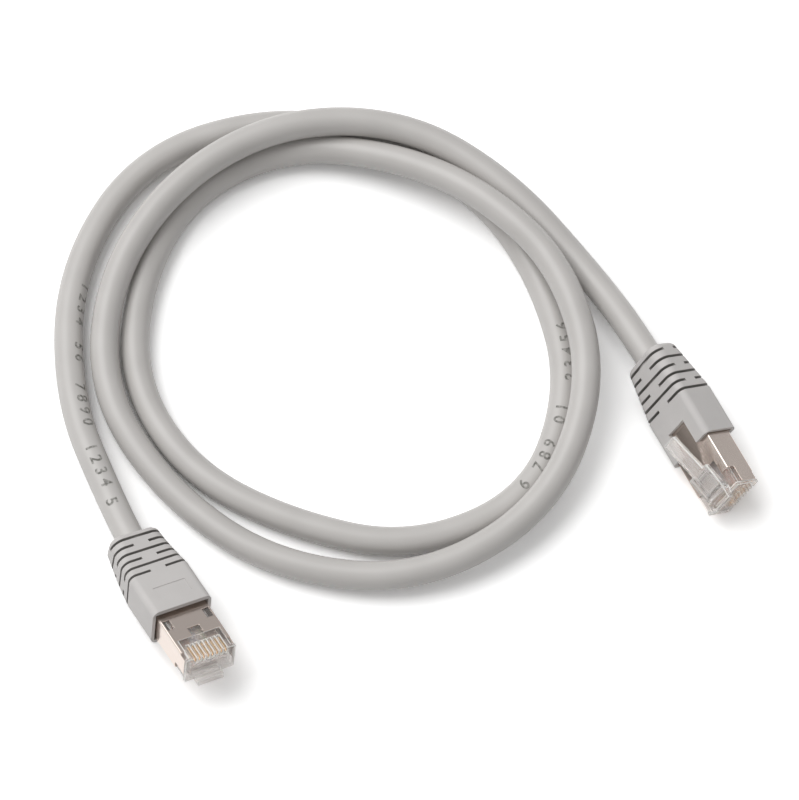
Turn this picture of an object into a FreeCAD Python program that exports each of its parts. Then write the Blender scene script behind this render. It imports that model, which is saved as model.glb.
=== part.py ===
import FreeCAD, Part
import math
import os

Vector = FreeCAD.Vector
Rotation = FreeCAD.Rotation
Placement = FreeCAD.Placement

# Patch cable, millimetres. The floor is z = 0 and the origin is the middle of the two plugs' footprint.
# Each plug has its own frame: x points out of its nose, z = 0 is its contact side, and z grows
# towards its latch. Sizes below that name x are measured in that frame.

# Cord
cordDiameter = 6.2
jacketWall = 0.85
foilThickness = 0.1
foilClearance = 0.05
drainDiameter = 0.5
wireDiameter = 0.95
wireRingRadius = 1.45
jacketEndX = -19.5
arcShare = 0.45

# Coil: reach of the cord's middle from the coil's middle, and its height, at every station,
# clockwise from plug A to plug B, after one point where the cord leaves plug A's boot
leadOut = (-68.0, 5.45, 5.2)
coilCentre = (-18.6, 46.15)
stationStep = 30.0
firstStation = 195.0
reach = (
    61.1, 61.5, 62.5, 56.0, 49.0, 45.0, 44.5, 50.0, 56.0, 53.2, 46.6,
    46.6, 46.8, 46.3, 49.2, 48.5, 43.0, 42.5, 48.0, 55.0, 61.0, 62.0,
    57.5, 53.5, 54.1, 52.1, 50.5, 50.5, 50.5, 49.0, 54.0,
)
height = (
    4.1, 3.1, 3.1, 3.1, 3.1, 3.1, 3.1, 3.1, 3.1, 3.1, 3.1,
    3.1, 3.1, 3.1, 3.1, 3.6, 7.6, 11.2, 11.2, 9.6, 7.0, 5.0,
    3.6, 3.1, 4.8, 7.1, 9.8, 10.8, 9.6, 8.5, 5.0,
)

# Plug body
bodyWidth = 11.68
bodyHeight = 6.5
housingRearX = -19.0
cornerRound = 0.4
cordAxisZ = 3.0
fanEndX = -16.5
fanStartX = -10.5

# Shield
sheet = 0.25
shieldGap = 0.05
shieldRearX = -19.2
shieldFrontX = -0.8
sideStepX = -4.6
sideStepZ = 4.6
plateFrontX = -6.0
plateNotchWidth = 2.7
plateNotchDepth = 2.3
railEndX = -2.6
railWidth = 0.9
cornerWindowFrontX = -9.3
cornerWindowLength = 2.6
cornerWindowWidth = 2.0
latchWindowWidth = 7.0
latchWindowRearX = -8.0

# Contacts and load bar
contactCount = 8
contactPitch = 1.02
bladeThickness = 0.35
bladeSlot = 0.5
bladeRearX = -3.9
bladeFrontX = -0.4
bladeCorner = 0.3
bladeRecess = 0.35
bladeHeight = 1.1
footHeight = 0.7
toothPlaces = (-3.35, -2.25)
toothWidth = 0.9
toothBite = 0.3
wireRowZ = 2.9
rowOffset = 0.5
wireHole = 1.1
wireTipX = -1.8
barFrontX = -1.3
barRearX = -9.0
barWidth = 8.8
barHeight = 2.9
cavityClearance = 0.1
fanCavityHeight = 4.6

# Latch
hingeX = -2.2
hingeZ = 7.1
knuckleRadius = 0.8
knuckleGap = 0.1
rootWidth = 6.2
rootTopZ = 7.9
rootFrontX = 1.0
shoulderWidth = 6.4
shoulderEndX = -7.6
shoulderEndZ = 9.1
leverWidth = 3.8
leverEndX = -16.1
leverEndZ = 12.0
leverThickness = 1.0

# Crimp ferrule
ferruleRearX = -23.2
ferruleFrontX = -19.5
ferruleWall = 0.35
ferruleGap = 0.05

# Boot
bootWidth = 13.7
bootHeight = 9.4
bootMiddleZ = 2.92
bootRound = 1.55
rimX = -13.27
blockEndX = -24.0
bootEndX = -36.6
bootTipLength = 0.6
bootTipInset = 0.45
tailWidth = 11.5
tailHeight = 8.1
tailRound = 2.9
tailSteps = 4
pocketDepth = 2.7
pocketGapSide = 0.3
pocketGapContact = 0.8
pocketGapLatch = 0.15
snugGap = 0.06
seatRearX = -23.4
bootBoreGap = 0.05
bootCoreWall = 0.4
slotCount = 6
slotPitch = 2.12
firstSlotX = -24.5
slotWidth = 0.65
faceWeb = 3.4
sideWeb = 2.8
notchWidth = 5.6
notchRearX = -19.1
markWidth = 7.4
markLength = 3.4
markMiddleX = -18.0
markDepth = 0.12

# Where each plug lies: nose point, then turn, tilt and roll in degrees, and the x where the cord's
# straight run behind it would meet the next one
plugs = {
    "plug_a": {"nose": (-46.0, -35.25, 15.22), "turn": -61.0, "tilt": -12.0, "roll": 168.0, "corner": -31.0},
    "plug_b": {"nose": (65.6, 6.25, 5.28), "turn": -62.0, "tilt": 3.5, "roll": 56.5, "corner": -41.5},
}

wireNames = (
    "wire_white_orange", "wire_orange", "wire_white_green", "wire_blue",
    "wire_white_blue", "wire_green", "wire_white_brown", "wire_brown",
)


def block(x0, x1, y0, y1, z0, z1):
    corner = Vector(min(x0, x1), min(y0, y1), min(z0, z1))
    return Part.makeBox(abs(x1 - x0), abs(y1 - y0), abs(z1 - z0), corner)


def across(x0, x1, width, z0, z1):
    """A block centred on the plug's middle plane."""
    return block(x0, x1, -width / 2, width / 2, z0, z1)


def rounded_bar(x0, x1, width, z0, z1, radius):
    """A bar along x whose four long edges are rounded."""
    bar = across(x0, x1, width, z0, z1)
    long_edges = [edge for edge in bar.Edges if abs(edge.BoundBox.XLength) > abs(x1 - x0) / 2]
    return bar.makeFillet(radius, long_edges)


def rod(x0, x1, radius, y, z):
    """A cylinder along x."""
    start = min(x0, x1)
    return Part.makeCylinder(radius, abs(x1 - x0), Vector(start, y, z), Vector(1, 0, 0))


def side_profile(points, width):
    """A plate drawn in the x-z plane and thickened evenly to both sides."""
    corners = [Vector(x, -width / 2, z) for x, z in points]
    face = Part.Face(Part.makePolygon(corners + corners[:1]))
    return face.extrude(Vector(0, width, 0))


# Routes: straight runs joined by tangent arcs

def turn_at(before, corner, after):
    incoming = (corner - before).normalize()
    outgoing = (after - corner).normalize()
    return incoming, outgoing, incoming.getAngle(outgoing)


def arc_radii(points):
    """Each corner's arc takes the same share of its shorter run."""
    radii = []
    for before, corner, after in zip(points, points[1:], points[2:]):
        turn = turn_at(before, corner, after)[2]
        shorter = min((corner - before).Length, (after - corner).Length)
        radii.append(arcShare * shorter / math.tan(turn / 2))
    return radii


def route_wire(points, radii):
    edges = []
    start = points[0]
    for before, corner, after, radius in zip(points, points[1:], points[2:], radii):
        incoming, outgoing, turn = turn_at(before, corner, after)
        reach_back = radius * math.tan(turn / 2)
        first = corner - incoming * reach_back
        last = corner + outgoing * reach_back
        inward = (outgoing - incoming).normalize()
        middle = corner + inward * (radius / math.cos(turn / 2) - radius)
        edges.append(Part.LineSegment(start, first).toShape())
        edges.append(Part.Arc(first, middle, last).toShape())
        start = last
    edges.append(Part.LineSegment(start, points[-1]).toShape())
    return Part.Wire(edges)


def sweep(path, points, radius):
    circle = Part.makeCircle(radius, points[0], points[1] - points[0])
    return path.makePipeShell([Part.Wire(circle)], True, False)


def tube(path, points, outer, inner):
    """A pipe wall between two radii, closed by a ring at each end."""
    return sweep(path, points, outer).cut(sweep(path, points, inner))


# Plug frames

def placement(name):
    place = plugs[name]
    turned = Rotation(place["turn"], place["tilt"], place["roll"])
    return Placement(Vector(*place["nose"]), turned)


def in_frame(name, x, y, z):
    return placement(name).multVec(Vector(x, y, z))


def direction(name, x, y, z):
    return placement(name).Rotation.multVec(Vector(x, y, z))


# Cord

def cord_points():
    points = [
        in_frame("plug_a", jacketEndX, 0, cordAxisZ),
        in_frame("plug_a", plugs["plug_a"]["corner"], 0, cordAxisZ),
        Vector(*leadOut),
    ]
    for station, (distance, z) in enumerate(zip(reach, height)):
        angle = math.radians(firstStation - stationStep * station)
        x = coilCentre[0] + distance * math.cos(angle)
        y = coilCentre[1] + distance * math.sin(angle)
        points.append(Vector(x, y, z))
    points += [
        in_frame("plug_b", plugs["plug_b"]["corner"], 0, cordAxisZ),
        in_frame("plug_b", jacketEndX, 0, cordAxisZ),
    ]
    return points


def near_line(name):
    """The cord's first run, corner and next point behind a plug, in that plug's frame, and the arc's radius."""
    points = cord_points()
    radii = arc_radii(points)
    near = points[:3] if name == "plug_a" else points[:-4:-1]
    to_plug = placement(name).inverse()
    return [to_plug.multVec(point) for point in near], radii[0 if name == "plug_a" else -1]


def carried(shape, line, x):
    """Put a shape drawn round x = 0 and z = 0 on the cord behind the plug, turned as the cord turns."""
    (start, corner, after), radius = line
    incoming, outgoing, turn = turn_at(start, corner, after)
    straight = (corner - start).Length - radius * math.tan(turn / 2)
    behind = jacketEndX - x
    angle = max(0, behind - straight) / radius
    normal = incoming.cross(outgoing).normalize()
    inward = normal.cross(incoming)
    place = start + incoming * (min(behind, straight) + radius * math.sin(angle))
    place += inward * (radius * (1 - math.cos(angle)))
    return shape.transformed(Placement(place, Rotation(normal, math.degrees(angle))).toMatrix())


def least_self_gap(path, length):
    """Least distance between two stretches of the cord that are well apart along it."""
    count = int(length / 1.5)
    points = path.discretize(Number=count)
    skip = int(6 * cordDiameter / (length / count))
    least = min(
        (points[i] - points[j]).Length
        for i in range(count)
        for j in range(i + skip, count)
    )
    return least - cordDiameter


def ring_places():
    """Where each wire lies in the jacket, as seen in plug A, and the row it goes to."""
    places = []
    for number in range(contactCount):
        row = 1 if number % 2 == 0 else -1
        angle = math.pi / contactCount * (1 + 2 * (number // 2))
        places.append((wireRingRadius * math.cos(angle), row * wireRingRadius * math.sin(angle), row))
    return places


def contact_y(number):
    return contactPitch * ((contactCount - 1) / 2 - number)


def carried_frames(points):
    """A side direction carried along the runs without twist, with each corner's own axes."""
    side = direction("plug_a", 0, 1, 0)
    frames = []
    for before, corner, after in zip(points, points[1:], points[2:]):
        incoming, outgoing, turn = turn_at(before, corner, after)
        normal = incoming.cross(outgoing).normalize()
        inward_in = normal.cross(incoming)
        inward_out = normal.cross(outgoing)
        up = incoming.cross(side)
        frames.append((side, up, normal, inward_in, inward_out, turn))
        side = normal * side.dot(normal) + inward_out * side.dot(inward_in)
    return frames, side


def wire_path(number, points, radii):
    """A wire's own route: its row in each plug, and its place in the ring along the cord."""
    frames, last_side = carried_frames(points)
    y, z, row = ring_places()[number]
    # The bundle turns slowly so that it meets plug B the right way round
    forward_b = direction("plug_b", 1, 0, 0)
    left_b = direction("plug_b", 0, 1, 0)
    twist = math.atan2(forward_b.dot(last_side.cross(left_b)), last_side.dot(left_b))
    row_y = contact_y(number)
    route = [
        in_frame("plug_a", wireTipX, row_y, wireRowZ + row * rowOffset),
        in_frame("plug_a", fanStartX, row_y, wireRowZ + row * rowOffset),
        in_frame("plug_a", fanEndX, y, cordAxisZ + z),
    ]
    bends = []
    # Seen along the cord, plug A's latch side lies opposite to the carried up direction
    for index, (side, up, normal, inward_in, inward_out, turn) in enumerate(frames):
        angle = twist * (index + 1) / (len(frames) + 1)
        out = -z
        along_side = y * math.cos(angle) - out * math.sin(angle)
        along_up = y * math.sin(angle) + out * math.cos(angle)
        offset = side * along_side + up * along_up
        inward = offset.dot(inward_in)
        mitre = (inward_in + inward_out) * (inward / (1 + math.cos(turn)))
        route.append(points[index + 1] + normal * offset.dot(normal) + mitre)
        bends.append(radii[index] - inward)
    route += [
        in_frame("plug_b", fanEndX, y, cordAxisZ - z),
        in_frame("plug_b", fanStartX, row_y, wireRowZ - row * rowOffset),
        in_frame("plug_b", wireTipX, row_y, wireRowZ - row * rowOffset),
    ]
    fan = arc_radii(route)
    return route, fan[:2] + bends + fan[-2:]


def build_cord(parts):
    points = cord_points()
    radii = arc_radii(points)
    path = route_wire(points, radii)
    length = path.Length
    outer = cordDiameter / 2
    bore = outer - jacketWall
    foil_outer = bore - foilClearance
    jacket = tube(path, points, outer, bore)
    parts["cable_jacket"] = jacket
    parts["cable_foil"] = tube(path, points, foil_outer, foil_outer - foilThickness)
    parts["cable_drain_wire"] = sweep(path, points, drainDiameter / 2)
    for number, name in enumerate(wireNames):
        route, bends = wire_path(number, points, radii)
        parts[name] = sweep(route_wire(route, bends), route, wireDiameter / 2)
    print("cord length", round(length, 1))
    print("bend radii", [round(radius, 1) for radius in radii])
    print("jacket volume over section times length",
          round(jacket.Volume / (math.pi * (outer ** 2 - bore ** 2) * length), 5))
    print("least gap between turns", round(least_self_gap(path, length), 2))


# Plug pieces, each in the plug's own frame

def tooth_tips(row):
    return wireRowZ + row * rowOffset - wireDiameter / 2 + toothBite


def make_housing():
    inner_width = bodyWidth - 2 * (sheet + shieldGap)
    low = sheet + shieldGap
    high = bodyHeight - sheet - shieldGap
    past = 1.0
    body = rounded_bar(housingRearX, 0, inner_width, low, high, cornerRound - sheet)
    nose = rounded_bar(shieldFrontX + shieldGap, 0, bodyWidth, 0, bodyHeight, cornerRound)
    # The clear body fills the shield's opening on the contact side, flush with the sheet
    comb = across(plateFrontX + shieldGap, 0, bodyWidth - 2 * (railWidth + shieldGap), 0, low + past)
    root = across(hingeX + knuckleRadius / 2, 0, rootWidth, high - past, rootTopZ)
    lip = across(0, rootFrontX, rootWidth, bodyHeight, rootTopZ)
    seat = Part.makeCylinder(
        knuckleRadius + knuckleGap, 2 * shoulderWidth, Vector(hingeX, -shoulderWidth, hingeZ), Vector(0, 1, 0))
    housing = body.fuse([nose, comb, root.cut(seat), lip]).cut(seat)
    bar_low = wireRowZ - barHeight / 2 - cavityClearance
    bar_high = wireRowZ + barHeight / 2 + cavityClearance
    bar_cavity = across(barRearX, barFrontX + cavityClearance, barWidth + 2 * cavityClearance, bar_low, bar_high)
    fan_cavity = across(
        housingRearX, barRearX, barWidth + 2 * cavityClearance,
        cordAxisZ - fanCavityHeight / 2, cordAxisZ + fanCavityHeight / 2)
    jacket_mouth = rod(housingRearX, jacketEndX + 2, cordDiameter / 2, 0, cordAxisZ)
    slots = [
        block(bladeRearX - cavityClearance, past, contact_y(n) - bladeSlot / 2, contact_y(n) + bladeSlot / 2,
              -past, bar_low + cavityClearance)
        for n in range(contactCount)
    ]
    return housing.cut([bar_cavity, fan_cavity, jacket_mouth] + slots).removeSplitter()


def make_load_bar(row_sign):
    bar = across(barRearX, barFrontX, barWidth, wireRowZ - barHeight / 2, wireRowZ + barHeight / 2)
    tools = []
    for number in range(contactCount):
        row = row_sign * ring_places()[number][2]
        z = wireRowZ + row * rowOffset
        tools.append(rod(barRearX, wireTipX + cavityClearance, wireHole / 2, contact_y(number), z))
        tools.append(block(
            bladeRearX - cavityClearance, barFrontX,
            contact_y(number) - bladeSlot / 2, contact_y(number) + bladeSlot / 2,
            wireRowZ - barHeight / 2, z))
    return bar.cut(tools)


def make_contact(number, row_sign):
    row = row_sign * ring_places()[number][2]
    low = sheet + bladeRecess
    top = low + bladeHeight
    tip = tooth_tips(row)
    # The foot in front of the load bar is lower, and its corner is rounded off for the jack's springs
    foot = low + footHeight
    step = barFrontX - cavityClearance
    outline = [(bladeRearX, low), (bladeFrontX - bladeCorner, low), (bladeFrontX, low + bladeCorner)]
    outline += [(bladeFrontX, foot), (step, foot), (step, top)]
    for centre in sorted(toothPlaces, reverse=True):
        outline += [(centre + toothWidth / 2, top), (centre, tip), (centre - toothWidth / 2, top)]
    outline.append((bladeRearX, top))
    blade = side_profile(outline, bladeThickness)
    blade.translate(Vector(0, contact_y(number), 0))
    return blade


def make_shield():
    shell = rounded_bar(shieldRearX, shieldFrontX, bodyWidth, 0, bodyHeight, cornerRound)
    hollow = rounded_bar(
        shieldRearX - 1, shieldFrontX + 1, bodyWidth - 2 * sheet, sheet, bodyHeight - sheet, cornerRound - sheet)
    past = 2.0
    rail_inner = bodyWidth - 2 * railWidth
    cuts = [
        hollow,
        across(plateFrontX, shieldFrontX + past, rail_inner, -past, 2 * sheet),
        across(railEndX, shieldFrontX + past, bodyWidth + past, -past, 2 * sheet),
        across(plateFrontX - plateNotchDepth, plateFrontX + past, plateNotchWidth, -past, 2 * sheet),
        across(sideStepX, shieldFrontX + past, bodyWidth + past, sideStepZ, bodyHeight + past),
        across(latchWindowRearX, shieldFrontX + past, latchWindowWidth, bodyHeight - 2 * sheet, bodyHeight + past),
    ]
    for side in (-1, 1):
        outer = side * bodyWidth / 2
        inner = side * (bodyWidth / 2 - cornerWindowWidth)
        cuts.append(block(
            cornerWindowFrontX - cornerWindowLength, cornerWindowFrontX, inner, outer - side * 2 * sheet,
            -past, 2 * sheet))
    return shell.cut(cuts)


def lever_slope():
    return (leverEndZ - shoulderEndZ) / (shoulderEndX - leverEndX)


def make_latch():
    """Knuckle, wide shoulders that catch in the jack, and the narrow lever that a finger presses."""
    knuckle = Part.makeCylinder(
        knuckleRadius, rootWidth, Vector(hingeX, -rootWidth / 2, hingeZ), Vector(0, 1, 0))
    drop = leverThickness
    shoulder = side_profile(
        [(hingeX, hingeZ + knuckleRadius), (shoulderEndX, shoulderEndZ), (shoulderEndX, shoulderEndZ - drop),
         (hingeX, hingeZ - knuckleRadius / 2)], shoulderWidth)
    lever = side_profile(
        [(shoulderEndX + drop, shoulderEndZ - drop * lever_slope()), (leverEndX, leverEndZ),
         (leverEndX, leverEndZ - drop), (shoulderEndX + drop, shoulderEndZ - drop - drop * lever_slope())], leverWidth)
    return knuckle.fuse([shoulder, lever]).removeSplitter()


def make_ferrule():
    inner = cordDiameter / 2 + ferruleGap
    outer = inner + ferruleWall
    ring = rod(ferruleRearX, ferruleFrontX, outer, 0, cordAxisZ)
    return ring.cut(rod(ferruleRearX, ferruleFrontX, inner, 0, cordAxisZ))


def boot_section(width, tall, radius):
    """A rounded rectangle across the boot, drawn at x = 0 with the cord's middle at z = 0."""
    y = width / 2 - radius
    z = tall / 2 - radius
    arcs = []
    for corner_y, corner_z, start in ((y, -z, -90), (y, z, 0), (-y, z, 90), (-y, -z, 180)):
        turns = [math.radians(start + more) for more in (0, 45, 90)]
        middle_z = bootMiddleZ - cordAxisZ + corner_z
        arcs.append([Vector(0, corner_y + radius * math.cos(a), middle_z + radius * math.sin(a)) for a in turns])
    edges = []
    for arc, following in zip(arcs, arcs[1:] + arcs[:1]):
        edges.append(Part.Arc(*arc).toShape())
        edges.append(Part.LineSegment(arc[-1], following[0]).toShape())
    return Part.Wire(edges)


def boot_body(line):
    """A straight block, then a narrower tail that follows the cord's bend."""
    sections = [(rimX, 0), (blockEndX, 0)]
    tip_x = bootEndX + bootTipLength
    for step in range(1, tailSteps + 1):
        share = step / tailSteps
        sections.append((blockEndX + (tip_x - blockEndX) * share, share))
    wires = []
    for x, share in sections:
        width = bootWidth + (tailWidth - bootWidth) * share
        tall = bootHeight + (tailHeight - bootHeight) * share
        wires.append(carried(boot_section(width, tall, bootRound + (tailRound - bootRound) * share), line, x))
    end = boot_section(tailWidth - 2 * bootTipInset, tailHeight - 2 * bootTipInset, tailRound - bootTipInset)
    wires.append(carried(end, line, bootEndX))
    return Part.makeLoft(wires, True, True)


def make_boot(line):
    points, radius = line
    path = route_wire(points, [radius])
    pocket = across(
        rimX - pocketDepth, rimX + 1, bodyWidth + 2 * pocketGapSide, -pocketGapContact, bodyHeight + pocketGapLatch)
    seat = across(shieldRearX - snugGap, rimX, bodyWidth + 2 * snugGap, -snugGap, bodyHeight + snugGap)
    ferrule_room = rod(
        seatRearX, shieldRearX, cordDiameter / 2 + ferruleGap + ferruleWall + snugGap, 0, cordAxisZ)
    bore_radius = cordDiameter / 2 + bootBoreGap
    bore = sweep(path, points, bore_radius)
    core = sweep(path, points, bore_radius + bootCoreWall)
    notch = across(notchRearX, rimX + 1, notchWidth, bodyHeight, bootMiddleZ + bootHeight)
    mark = across(
        markMiddleX - markLength / 2, markMiddleX + markLength / 2, markWidth,
        bootMiddleZ - bootHeight / 2 - 1, bootMiddleZ - bootHeight / 2 + markDepth)
    slots = []
    for row in range(slotCount):
        slab = across(-slotWidth / 2, slotWidth / 2, 2 * bootWidth, -bootHeight, bootHeight)
        if row % 2 == 0:
            web = across(-slotWidth, slotWidth, faceWeb, -bootHeight, bootHeight)
        else:
            web = across(-slotWidth, slotWidth, 2 * bootWidth, -sideWeb / 2, sideWeb / 2)
        slots.append(carried(slab.cut(web), line, firstSlotX - slotPitch * row).cut(core))
    return boot_body(line).cut([pocket, seat, ferrule_room, bore, notch, mark] + slots)


def build_plug(name, row_sign, parts):
    pieces = {
        "housing": make_housing(),
        "load_bar": make_load_bar(row_sign),
        "shield": make_shield(),
        "latch": make_latch(),
        "crimp_ferrule": make_ferrule(),
        "boot": make_boot(near_line(name)),
    }
    for number in range(contactCount):
        pieces["contact_%d" % (number + 1)] = make_contact(number, row_sign)
    place = placement(name)
    for piece, shape in pieces.items():
        parts[name + "_" + piece] = shape.transformed(place.toMatrix())


parts = {}
build_cord(parts)
build_plug("plug_a", 1, parts)
build_plug("plug_b", -1, parts)

os.makedirs("parts", exist_ok=True)
for node, shape in parts.items():
    solids = len(shape.Solids)
    print(node, "solids", solids, "valid", shape.isValid(), "volume", round(shape.Volume, 2))
    shape.exportStep("parts/%s.step" % node)
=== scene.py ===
import bpy
import bmesh
import math
from mathutils import Euler, Matrix, Vector
from mathutils.bvhtree import BVHTree


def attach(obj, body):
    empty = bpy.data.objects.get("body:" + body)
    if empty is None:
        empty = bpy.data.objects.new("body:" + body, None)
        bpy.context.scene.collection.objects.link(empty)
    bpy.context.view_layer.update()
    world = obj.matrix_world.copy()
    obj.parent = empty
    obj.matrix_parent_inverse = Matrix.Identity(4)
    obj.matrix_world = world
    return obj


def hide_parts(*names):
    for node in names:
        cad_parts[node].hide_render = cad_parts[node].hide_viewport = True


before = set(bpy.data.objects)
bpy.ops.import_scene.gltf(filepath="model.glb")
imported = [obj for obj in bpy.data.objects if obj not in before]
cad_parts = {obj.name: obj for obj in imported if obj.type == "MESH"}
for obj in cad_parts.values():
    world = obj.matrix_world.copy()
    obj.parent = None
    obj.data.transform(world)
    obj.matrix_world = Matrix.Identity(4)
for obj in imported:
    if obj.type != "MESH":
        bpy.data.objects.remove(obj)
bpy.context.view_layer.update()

mm = 0.001  # every size below is in millimetres unless its note says otherwise


# Small helpers used by every piece

def link(piece):
    bpy.context.scene.collection.objects.link(piece)
    return piece


def linearColour(code):
    # sRGB hex to the linear values that Blender works in
    channels = [int(code[i:i + 2], 16) / 255 for i in (1, 3, 5)]
    return [c / 12.92 if c <= 0.04045 else ((c + 0.055) / 1.055) ** 2.4 for c in channels] + [1.0]


def addNode(material, kind, settings=None, inputs=None):
    # an input is a value, or another node's output to link from
    node = material.node_tree.nodes.new(kind)
    for name, value in (settings or {}).items():
        setattr(node, name, value)
    for name, value in (inputs or {}).items():
        if isinstance(value, bpy.types.NodeSocket):
            material.node_tree.links.new(value, node.inputs[name])
        else:
            node.inputs[name].default_value = value
    return node


def newMaterial(name):
    # a material with one empty Principled surface
    material = bpy.data.materials.new(name)
    material.use_nodes = True
    return material, material.node_tree.nodes["Principled BSDF"]


def finishOn(piece, material):
    if len(piece.data.materials) == 0:
        piece.data.materials.append(material)
    for index in range(len(piece.data.materials)):
        piece.data.materials[index] = material


# The camera looks down at the coil from the front, nearly without perspective

cameraPlace = {
    "target": (-7.1, 32.15, 0.0),
    "elevation": 62.0,   # degrees
    "distance": 1500.0,
    "lens": 316.97,
    "sensor": 36.0,
    "seesTo": 10000.0,
}


def makeCamera():
    data = bpy.data.cameras.new("camera")
    data.sensor_fit = "HORIZONTAL"
    data.sensor_width = cameraPlace["sensor"]
    data.lens = cameraPlace["lens"]
    data.clip_end = cameraPlace["seesTo"] * mm
    camera = link(bpy.data.objects.new("camera", data))
    tilt = math.radians(cameraPlace["elevation"])
    target = Vector(cameraPlace["target"])
    camera.location = (target + cameraPlace["distance"] * Vector((0, -math.cos(tilt), math.sin(tilt)))) * mm
    camera.rotation_euler = (math.pi / 2 - tilt, 0, 0)
    bpy.context.scene.camera = camera


makeCamera()
print("stage: camera")


# Where each plug lies: its nose point, then turn, tilt and roll in degrees
# In a plug's own frame x points out of the nose, z = 0 is the contact side and z grows to the latch
# corner is the x at which the cord behind the plug first bends

plugPlaces = {
    "plug_a": {"nose": (-46.0, -35.25, 15.22), "turn": -61.0, "tilt": -12.0, "roll": 168.0, "corner": -31.0},
    "plug_b": {"nose": (65.6, 6.25, 5.28), "turn": -62.0, "tilt": 3.5, "roll": 56.5, "corner": -41.5},
}


def plugFrame(plug):
    # plug millimetres to scene metres
    place = plugPlaces[plug]
    turned = Euler([math.radians(place[name]) for name in ("roll", "tilt", "turn")], "XYZ")
    return Matrix.Scale(mm, 4) @ Matrix.Translation(place["nose"]) @ turned.to_matrix().to_4x4()


# The cord: one smooth line from plug A round the coil to plug B

cordShape = {
    "diameter": 6.2,
    "length": 891.0,
    "roundSteps": 8,         # how finely the tube is drawn round and along
    "alongSteps": 16,
    "axisZ": 3.0,            # height of the cord's middle in a plug's frame
    "jacketEnd": -19.5,      # x in a plug's frame where the jacket ends
    "bootTail": 5.6,         # from plug A's corner to the end of its boot
    "leadOut": (-68.0, 5.45, 5.2),
    "coilCentre": (-18.6, 46.15),
    "firstStation": 195.0,   # degrees, then clockwise
    "stationStep": 30.0,
    "reach": (
        61.1, 61.5, 62.5, 56.0, 49.0, 45.0, 44.5, 50.0, 56.0, 53.2, 46.6,
        46.6, 46.8, 46.3, 49.2, 48.5, 43.0, 42.5, 48.0, 55.0, 61.0, 62.0,
        57.5, 53.5, 54.1, 52.1, 50.5, 50.5, 50.5, 49.0, 54.0,
    ),
    "height": (
        4.1, 3.1, 3.1, 3.1, 3.1, 3.1, 3.1, 3.1, 3.1, 3.1, 3.1,
        3.1, 3.1, 3.1, 3.1, 3.6, 7.6, 11.2, 11.2, 9.6, 7.0, 5.0,
        3.6, 3.1, 4.8, 7.1, 9.8, 10.8, 9.6, 8.5, 5.0,
    ),
}


def cordRoute():
    ends = [plugFrame(plug) @ Vector((x, 0, cordShape["axisZ"]))
            for plug, x in (("plug_a", cordShape["jacketEnd"]), ("plug_a", plugPlaces["plug_a"]["corner"]),
                            ("plug_b", plugPlaces["plug_b"]["corner"]), ("plug_b", cordShape["jacketEnd"]))]
    turns = [Vector(cordShape["leadOut"]) * mm]
    for station, (reach, height) in enumerate(zip(cordShape["reach"], cordShape["height"])):
        angle = math.radians(cordShape["firstStation"] - cordShape["stationStep"] * station)
        turns.append(Vector((
            cordShape["coilCentre"][0] + reach * math.cos(angle),
            cordShape["coilCentre"][1] + reach * math.sin(angle),
            height)) * mm)
    return ends[:2] + turns + ends[2:]


def splineCurve(name, points, radius):
    data = bpy.data.curves.new(name, "CURVE")
    data.dimensions = "3D"
    spline = data.splines.new("NURBS")
    spline.points.add(len(points) - 1)
    for control, point in zip(spline.points, points):
        control.co = (*point, 1.0)
        control.radius = radius
    spline.order_u = 3
    spline.use_endpoint_u = True
    spline.resolution_u = cordShape["alongSteps"]
    data.bevel_depth = 1.0   # times the points' own radius, which Blender's box for the curve goes by
    data.bevel_resolution = cordShape["roundSteps"]
    data.use_fill_caps = True
    return link(bpy.data.objects.new(name, data))


cordPoints = cordRoute()
jacketCurve = splineCurve("networkCord", cordPoints, cordShape["diameter"] / 2 * mm)
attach(jacketCurve, "cable_and_plugs")
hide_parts("cable_jacket")
print("stage: cord")


# Numbers printed along the cord, read towards plug A with their tops to the inside of the coil
# Each word starts at a length along the cord and sits at an angle round it, inwards from the top

printedNumbers = {
    "words": (                       # what it says, where it starts, and its lean in degrees
        ("1234", 81.5, 52.0), ("56", 66.0, 50.0), ("7890", 55.6, 38.0),
        ("1234", 40.0, 12.0), ("5", 26.1, 0.0), ("6", 272.8, 18.0),
        ("789", 267.6, 12.0), ("01", 255.5, 0.0), ("23456", 245.0, -26.0),
    ),
    "pitch": 3.05,                   # from one figure to the next
    "size": 3.6,
    "bold": 0.07,
    "facing": (0.0, -0.47, 0.88),    # the side of the cord that faces up and to the front
    "inkRaise": 0.012,
    "cutEvery": 0.4,                 # cuts the flat figures, so that they bend round the cord
    "cutsEachSide": 4,
}


def cordLine(curve):
    # the cord's own middle line, as points with the length up to each
    data = curve.data.copy()
    data.bevel_depth = 0
    probe = link(bpy.data.objects.new("cordProbe", data))
    bpy.context.view_layer.update()
    mesh = bpy.data.meshes.new_from_object(probe.evaluated_get(bpy.context.evaluated_depsgraph_get()))
    points = [vertex.co.copy() for vertex in mesh.vertices]
    bpy.data.objects.remove(probe)
    bpy.data.meshes.remove(mesh)
    lengths = [0.0]
    for before, after in zip(points, points[1:]):
        lengths.append(lengths[-1] + (after - before).length)
    return points, lengths


def placeAlong(line, length):
    points, lengths = line
    index = max(1, next(i for i, reached in enumerate(lengths) if reached >= length))
    share = (length - lengths[index - 1]) / (lengths[index] - lengths[index - 1])
    return points[index - 1].lerp(points[index], share), (points[index] - points[index - 1]).normalized()


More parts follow.
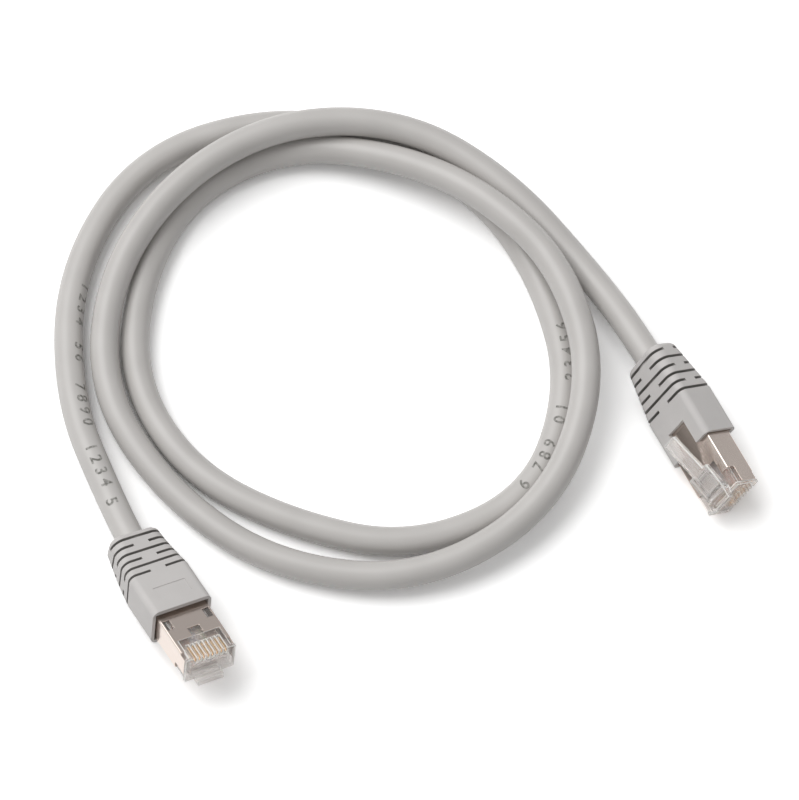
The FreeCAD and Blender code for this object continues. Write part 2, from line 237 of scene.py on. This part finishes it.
def flatFigure(text):
    data = bpy.data.curves.new("figure", "FONT")
    data.body = text
    data.size = printedNumbers["size"] * mm
    data.offset = printedNumbers["bold"] * mm
    data.align_x = "CENTER"
    data.align_y = "CENTER"
    figure = link(bpy.data.objects.new("figure", data))
    bpy.context.view_layer.update()
    mesh = bpy.data.meshes.new_from_object(figure.evaluated_get(bpy.context.evaluated_depsgraph_get()))
    bpy.data.objects.remove(figure)
    return mesh


def printNumbers(line):
    radius = (cordShape["diameter"] / 2 + printedNumbers["inkRaise"]) * mm
    facing = Vector(printedNumbers["facing"])
    step = printedNumbers["cutEvery"] * mm
    whole = bmesh.new()
    for word, start, lean in printedNumbers["words"]:
        for place, letter in enumerate(word):
            middle = (start - place * printedNumbers["pitch"]) * mm
            figure = bmesh.new()
            figure.from_mesh(flatFigure(letter))
            for cut in range(-printedNumbers["cutsEachSide"], printedNumbers["cutsEachSide"] + 1):
                everything = figure.verts[:] + figure.edges[:] + figure.faces[:]
                bmesh.ops.bisect_plane(
                    figure, geom=everything, plane_co=(0, cut * step, 0), plane_no=(0, 1, 0))
            for vertex in figure.verts:
                point, along = placeAlong(line, middle - vertex.co.x)
                outward = (facing - along * facing.dot(along)).normalized()
                inward = along.cross(outward)
                angle = math.radians(lean) + vertex.co.y / radius
                vertex.co = point + radius * (math.cos(angle) * outward + math.sin(angle) * inward)
            mesh = bpy.data.meshes.new("figure")
            figure.to_mesh(mesh)
            figure.free()
            whole.from_mesh(mesh)
    mesh = bpy.data.meshes.new("printedNumbers")
    whole.to_mesh(mesh)
    whole.free()
    piece = link(bpy.data.objects.new("printedNumbers", mesh))
    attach(piece, "cable_and_plugs")
    return piece


numbers = printNumbers(cordLine(jacketCurve))
print("stage: printed numbers")


# Plug pieces: the solids' own shapes, with their edges eased as moulding or stamping leaves them, except the
# boots, whose edges are left as they are

easedEdges = {
    "boot": 0.0, "shield": 0.07, "housing": 0.16, "latch": 0.24, "load_bar": 0.06, "crimp_ferrule": 0.06,
    "sharpFrom": 28.0,   # degrees between faces
    "flatWithin": 0.5,   # degrees, for faces that are drawn as one
    "joinWithin": 0.002,
    "segments": 3,
    "slotWidth": 0.9,    # the walls of a boot's slot are nearer to each other than this
    "offTheWall": 0.01,  # where the look across a slot starts
}
pieceNames = {
    "boot": "strainReliefBoot", "shield": "shieldShell", "housing": "clearNose", "latch": "latchLever",
    "load_bar": "wireComb", "crimp_ferrule": "crimpFerrule",
}
pieceSlots = {
    "boot": "boot", "shield": "nickel", "housing": "clear", "latch": "clear", "load_bar": "load_bar",
    "crimp_ferrule": "nickel",
}


def facesAnother(tree, face):
    start = face.calc_center_median() + face.normal * easedEdges["offTheWall"] * mm
    return tree.ray_cast(start, face.normal, easedEdges["slotWidth"] * mm)[0] is not None


def markPaintedSlotShade(shape):
    # the walls of a slot face each other closely, and its floor meets them in hollow corners; these faces
    # take the second material, a darker rubber that is painted shade for the shade deep in the slots
    tree = BVHTree.FromBMesh(shape)
    walls = [face for face in shape.faces if facesAnother(tree, face)]
    for wall in walls:
        wall.material_index = 1
        for line in wall.edges:
            if not line.is_convex:
                for face in line.link_faces:
                    face.material_index = 1


def easedPiece(node, name, edge, body, slot):
    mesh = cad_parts[node].data.copy()
    mesh.name = name
    mesh.materials.clear()
    shape = bmesh.new()
    shape.from_mesh(mesh)
    bmesh.ops.remove_doubles(shape, verts=shape.verts, dist=easedEdges["joinWithin"] * mm)
    # the faces deep in a boot's slots are marked for a darker rubber: painted shade
    if slot == "boot":
        markPaintedSlotShade(shape)
    bmesh.ops.dissolve_limit(
        shape, angle_limit=math.radians(easedEdges["flatWithin"]),
        verts=shape.verts, edges=shape.edges, delimit={"MATERIAL"})
    for face in shape.faces:
        face.smooth = True
    for line in shape.edges:
        line.smooth = line.calc_face_angle(0) < math.radians(easedEdges["sharpFrom"])
    shape.to_mesh(mesh)
    shape.free()
    piece = link(bpy.data.objects.new(name, mesh))
    if edge > 0:
        bevel = piece.modifiers.new("easedEdges", "BEVEL")
        bevel.limit_method = "ANGLE"
        bevel.angle_limit = math.radians(easedEdges["sharpFrom"])
        bevel.width = edge * mm
        bevel.segments = easedEdges["segments"]
        bevel.use_clamp_overlap = False
        bevel.harden_normals = True
        if slot == "clear":
            bevel.material = 1   # the eased edges of clear plastic take a whiter, near-opaque milky copy of the plastic: a painted highlight for the bright lines along their edges
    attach(piece, body)
    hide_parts(node)
    return piece


dressed = {}
for plug, letter in (("plug_a", "A"), ("plug_b", "B")):
    for part, title in pieceNames.items():
        body = plug + "_latch_lever" if part == "latch" else "cable_and_plugs"
        dressed[plug, part] = easedPiece(
            plug + "_" + part, title + letter, easedEdges[part], body, pieceSlots[part])
print("stage: plug pieces")


# Soft PVC, extruded: satin, and a little uneven where the twisted pairs press through
def extrudedPvc():
    material, surface = newMaterial("extrudedPvc")
    place = addNode(material, "ShaderNodeTexCoord")
    waves = addNode(material, "ShaderNodeTexNoise", inputs={
        "Vector": place.outputs["Object"], "Scale": 1 / (9.0 * mm), "Detail": 1.0})
    grain = addNode(material, "ShaderNodeTexNoise", inputs={
        "Vector": place.outputs["Object"], "Scale": 1 / (0.35 * mm), "Detail": 2.0})
    tone = addNode(material, "ShaderNodeValToRGB", inputs={"Fac": waves.outputs["Fac"]})
    tone.color_ramp.elements[0].color = linearColour("#BEBBB8")
    tone.color_ramp.elements[1].color = linearColour("#CAC7C4")
    low = addNode(material, "ShaderNodeBump", inputs={
        "Height": waves.outputs["Fac"], "Strength": 0.35, "Distance": 0.25 * mm})
    fine = addNode(material, "ShaderNodeBump", inputs={
        "Height": grain.outputs["Fac"], "Strength": 0.12, "Distance": 0.02 * mm,
        "Normal": low.outputs["Normal"]})
    material.node_tree.links.new(tone.outputs["Color"], surface.inputs["Base Color"])
    material.node_tree.links.new(fine.outputs["Normal"], surface.inputs["Normal"])
    surface.inputs["Roughness"].default_value = 0.38
    surface.inputs["IOR"].default_value = 1.52
    return material


# Thermoplastic rubber, moulded over the cord: matt, with the fine grain of an etched mould
# A darker copy of it goes on the faces deep in the boot's slots: painted shade, standing for the shade that
# falls there
def mouldedRubber(name, darkTone, lightTone):
    material, surface = newMaterial(name)
    place = addNode(material, "ShaderNodeTexCoord")
    grain = addNode(material, "ShaderNodeTexNoise", inputs={
        "Vector": place.outputs["Object"], "Scale": 1 / (0.28 * mm), "Detail": 3.0})
    clouds = addNode(material, "ShaderNodeTexNoise", inputs={
        "Vector": place.outputs["Object"], "Scale": 1 / (6.0 * mm), "Detail": 2.0})
    tone = addNode(material, "ShaderNodeValToRGB", inputs={"Fac": clouds.outputs["Fac"]})
    tone.color_ramp.elements[0].color = linearColour(darkTone)
    tone.color_ramp.elements[1].color = linearColour(lightTone)
    skin = addNode(material, "ShaderNodeBump", inputs={
        "Height": grain.outputs["Fac"], "Strength": 0.3, "Distance": 0.03 * mm})
    material.node_tree.links.new(tone.outputs["Color"], surface.inputs["Base Color"])
    material.node_tree.links.new(skin.outputs["Normal"], surface.inputs["Normal"])
    surface.inputs["Roughness"].default_value = 0.58
    surface.inputs["IOR"].default_value = 1.5
    return material


# Bright nickel plated on stamped brass: a mirror, softened by rolling marks and handling
def brightNickel():
    material, surface = newMaterial("brightNickel")
    place = addNode(material, "ShaderNodeTexCoord")
    smears = addNode(material, "ShaderNodeTexNoise", inputs={
        "Vector": place.outputs["Object"], "Scale": 1 / (3.0 * mm), "Detail": 3.0})
    gloss = addNode(material, "ShaderNodeMapRange", inputs={
        "Value": smears.outputs["Fac"], "To Min": 0.12, "To Max": 0.24})
    wavy = addNode(material, "ShaderNodeBump", inputs={
        "Height": smears.outputs["Fac"], "Strength": 0.25, "Distance": 0.06 * mm})
    material.node_tree.links.new(gloss.outputs["Result"], surface.inputs["Roughness"])
    material.node_tree.links.new(wavy.outputs["Normal"], surface.inputs["Normal"])
    surface.inputs["Base Color"].default_value = linearColour("#D2C6BE")
    surface.inputs["Metallic"].default_value = 1.0
    return material


# Clear polycarbonate, moulded in a polished tool: glassy, with faint flow waves
# haze is the share of the light that the surface bends or reflects, and the rest goes straight through
# milk is the share of that which scatters inside, as light that has been through many walls does
def clearPolycarbonate(name, colour, roughness, haze, milk):
    material, surface = newMaterial(name)
    place = addNode(material, "ShaderNodeTexCoord")
    flow = addNode(material, "ShaderNodeTexNoise", inputs={
        "Vector": place.outputs["Object"], "Scale": 1 / (2.5 * mm), "Detail": 1.0})
    wavy = addNode(material, "ShaderNodeBump", inputs={
        "Height": flow.outputs["Fac"], "Strength": 0.2, "Distance": 0.05 * mm})
    material.node_tree.links.new(wavy.outputs["Normal"], surface.inputs["Normal"])
    surface.inputs["Base Color"].default_value = linearColour(colour)
    surface.inputs["Roughness"].default_value = roughness
    surface.inputs["IOR"].default_value = 1.585
    surface.inputs["Transmission Weight"].default_value = 1 - milk
    surface.inputs["Alpha"].default_value = haze
    return material


# Hard gold over nickel on the contact blades: warm, bright and finely drawn
def goldPlate():
    material, surface = newMaterial("goldPlate")
    place = addNode(material, "ShaderNodeTexCoord")
    drawn = addNode(material, "ShaderNodeTexNoise", inputs={
        "Vector": place.outputs["Object"], "Scale": 1 / (0.3 * mm), "Detail": 2.0})
    gloss = addNode(material, "ShaderNodeMapRange", inputs={
        "Value": drawn.outputs["Fac"], "To Min": 0.16, "To Max": 0.3})
    material.node_tree.links.new(gloss.outputs["Result"], surface.inputs["Roughness"])
    surface.inputs["Base Color"].default_value = linearColour("#F3CE9C")
    surface.inputs["Metallic"].default_value = 1.0
    return material


# Polyethylene insulation, extruded over each wire; the white ones carry flecks of their pair's colour
def wireInsulation(name, colour, fleck):
    material, surface = newMaterial(name)
    place = addNode(material, "ShaderNodeTexCoord")
    spots = addNode(material, "ShaderNodeTexNoise", inputs={
        "Vector": place.outputs["Object"], "Scale": 1 / (1.4 * mm), "Detail": 0.0})
    tone = addNode(material, "ShaderNodeValToRGB", inputs={"Fac": spots.outputs["Fac"]})
    tone.color_ramp.elements[0].color = linearColour(colour)
    tone.color_ramp.elements[0].position = 0.52
    tone.color_ramp.elements[1].color = linearColour(fleck)
    tone.color_ramp.elements[1].position = 0.56
    material.node_tree.links.new(tone.outputs["Color"], surface.inputs["Base Color"])
    surface.inputs["Roughness"].default_value = 0.4
    return material


# Aluminium foil and tinned copper, drawn and wrapped: only seen where the cord is cut
def plainMetal(name, colour, roughness):
    material, surface = newMaterial(name)
    place = addNode(material, "ShaderNodeTexCoord")
    creases = addNode(material, "ShaderNodeTexNoise", inputs={
        "Vector": place.outputs["Object"], "Scale": 1 / (1.0 * mm), "Detail": 2.0})
    wavy = addNode(material, "ShaderNodeBump", inputs={
        "Height": creases.outputs["Fac"], "Strength": 0.4, "Distance": 0.05 * mm})
    material.node_tree.links.new(wavy.outputs["Normal"], surface.inputs["Normal"])
    surface.inputs["Base Color"].default_value = linearColour(colour)
    surface.inputs["Metallic"].default_value = 1.0
    surface.inputs["Roughness"].default_value = roughness
    return material


# Grey ink, jet printed on the jacket: matt and a little thin in places
def jetInk():
    material, surface = newMaterial("jetInk")
    place = addNode(material, "ShaderNodeTexCoord")
    gaps = addNode(material, "ShaderNodeTexNoise", inputs={
        "Vector": place.outputs["Object"], "Scale": 1 / (0.7 * mm), "Detail": 2.0})
    tone = addNode(material, "ShaderNodeValToRGB", inputs={"Fac": gaps.outputs["Fac"]})
    tone.color_ramp.elements[0].color = linearColour("#6E6D68")
    tone.color_ramp.elements[0].position = 0.35
    tone.color_ramp.elements[1].color = linearColour("#AAA8A4")
    tone.color_ramp.elements[1].position = 0.65
    material.node_tree.links.new(tone.outputs["Color"], surface.inputs["Base Color"])
    surface.inputs["Roughness"].default_value = 0.6
    return material


rubber = mouldedRubber("mouldedRubber", "#C1BEBC", "#CDCAC8")
# painted shade: a darker copy of the rubber for the faces deep in the boot's slots
dustyRubber = mouldedRubber("dustyRubber", "#9B9895", "#A5A29F")
nickel = brightNickel()
clear = clearPolycarbonate("clearPolycarbonate", "#FFF6F0", 0.05, 0.4, 0.3)
springy = clearPolycarbonate("springyPolycarbonate", "#FFF8F4", 0.04, 0.34, 0.25)
# painted highlight: a milky white, nearly opaque copy of the clear plastic for its eased edges, so that they
# read as bright lines
paintedEdgeHighlight = clearPolycarbonate("litPolycarbonateEdge", "#FFFEFC", 0.15, 0.85, 0.85)
comb = clearPolycarbonate("combPolycarbonate", "#FFEFE4", 0.15, 0.35, 0.6)
gold = goldPlate()
foil = plainMetal("aluminiumFoil", "#DCDCDC", 0.3)
tin = plainMetal("tinnedCopper", "#C9C6C1", 0.3)
insulation = {
    "wire_white_orange": ("#EDE8E0", "#E4813A"), "wire_orange": ("#DE6F33", "#D5662C"),
    "wire_white_green": ("#E9EBE4", "#6BAE77"), "wire_blue": ("#6481BC", "#5B78B3"),
    "wire_white_blue": ("#E8EAEE", "#7D98CC"), "wire_green": ("#5FA06E", "#569765"),
    "wire_white_brown": ("#ECE6E0", "#A8705A"), "wire_brown": ("#96604A", "#8B5641"),
}
partFinish = {
    "boot": rubber, "shield": nickel, "housing": clear, "latch": springy, "load_bar": comb,
    "crimp_ferrule": nickel,
}
# second materials: painted shade in the boots' slots, and a painted highlight on the clear pieces' eased
# edges
secondFinish = {"boot": dustyRubber, "housing": paintedEdgeHighlight, "latch": paintedEdgeHighlight}
for (plug, part), piece in dressed.items():
    finishOn(piece, partFinish[part])
    if part in secondFinish:
        piece.data.materials.append(secondFinish[part])
finishOn(jacketCurve, extrudedPvc())
finishOn(numbers, jetInk())
for node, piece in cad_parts.items():
    if "_contact_" in node:
        finishOn(piece, gold)
    elif node in insulation:
        finishOn(piece, wireInsulation(node.replace("_", " ").title().replace(" ", ""), *insulation[node]))
finishOn(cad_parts["cable_foil"], foil)
finishOn(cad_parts["cable_drain_wire"], tin)
print("stage: materials")


# Floor and light

stageShape = {
    "size": 3000.0,
    "paperSeen": 1.45,                # how white the paper looks to the camera and in reflections
    "paperBounce": 0.7,               # how much of the light it gives back to the cable
    "keyFrom": (-0.65, 0.35, 1.2),    # the large soft lamp stands to the left and behind
    "keyStrength": 1.5,
    "keyWidth": 48.0,                 # degrees that the lamp covers, so how soft its shadows are
    "skyLevel": 0.17,
    "skyLean": (-0.2, 0.08, 0.53),    # brighter above, to the left and behind
    "backdropLevel": 0.88,
    "backdropLean": (0.0, -0.4, 0.0),  # reflections see the far wall pale grey, and the rest white
}


def seenDirectly(material):
    # 1 where the camera, a reflection or clear plastic sees the surface, and 0 where it only lights others
    path = addNode(material, "ShaderNodeLightPath")
    mirrored = addNode(material, "ShaderNodeMath", {"operation": "MAXIMUM"}, {
        0: path.outputs["Is Camera Ray"], 1: path.outputs["Is Glossy Ray"]})
    through = addNode(material, "ShaderNodeMath", {"operation": "MAXIMUM"}, {
        0: mirrored.outputs["Value"], 1: path.outputs["Is Transmission Ray"]})
    return through.outputs["Value"]


def leaningLevel(world, level, lean):
    # a brightness that grows steadily in one direction
    place = addNode(world, "ShaderNodeTexCoord")
    share = addNode(world, "ShaderNodeVectorMath", {"operation": "DOT_PRODUCT"}, {
        0: place.outputs["Generated"], 1: lean})
    return addNode(world, "ShaderNodeMath", {"operation": "ADD"}, {0: share.outputs["Value"], 1: level})


def makeFloor():
    mesh = bpy.data.meshes.new("floor")
    shape = bmesh.new()
    bmesh.ops.create_grid(shape, x_segments=1, y_segments=1, size=stageShape["size"] / 2 * mm)
    shape.to_mesh(mesh)
    shape.free()
    floor = link(bpy.data.objects.new("floor", mesh))
    material = bpy.data.materials.new("whitePaper")
    material.use_nodes = True
    material.node_tree.nodes.clear()
    tone = addNode(material, "ShaderNodeMapRange", inputs={
        "Value": seenDirectly(material),
        "To Min": stageShape["paperBounce"], "To Max": stageShape["paperSeen"]})
    paper = addNode(material, "ShaderNodeBsdfDiffuse", inputs={"Color": tone.outputs["Result"]})
    addNode(material, "ShaderNodeOutputMaterial", inputs={"Surface": paper.outputs["BSDF"]})
    finishOn(floor, material)


def makeWorld():
    world = bpy.data.worlds.new("studio")
    bpy.context.scene.world = world
    world.use_nodes = True
    world.node_tree.nodes.clear()
    light = leaningLevel(world, stageShape["skyLevel"], stageShape["skyLean"])
    wall = leaningLevel(world, stageShape["backdropLevel"], stageShape["backdropLean"])
    pale = addNode(world, "ShaderNodeMath", {"operation": "MINIMUM"}, {0: wall.outputs["Value"], 1: 1.0})
    path = addNode(world, "ShaderNodeLightPath")
    white = addNode(world, "ShaderNodeMath", {"operation": "MAXIMUM"}, {
        0: pale.outputs["Value"], 1: path.outputs["Is Camera Ray"]})
    sky = addNode(world, "ShaderNodeBackground", inputs={
        "Color": (1, 1, 1, 1), "Strength": light.outputs["Value"]})
    backdrop = addNode(world, "ShaderNodeBackground", inputs={
        "Color": (1, 1, 1, 1), "Strength": white.outputs["Value"]})
    mixed = addNode(world, "ShaderNodeMixShader", inputs={
        0: seenDirectly(world), 1: sky.outputs["Background"], 2: backdrop.outputs["Background"]})
    addNode(world, "ShaderNodeOutputWorld", inputs={"Surface": mixed.outputs["Shader"]})


def makeKeyLamp():
    data = bpy.data.lights.new("softKey", "SUN")
    data.energy = stageShape["keyStrength"]
    data.angle = math.radians(stageShape["keyWidth"])
    lamp = link(bpy.data.objects.new("softKey", data))
    lamp.rotation_euler = Vector(stageShape["keyFrom"]).to_track_quat("Z", "Y").to_euler()


makeFloor()
makeWorld()
makeKeyLamp()
bpy.context.scene.view_settings.view_transform = "Standard"
print("stage: floor and light")
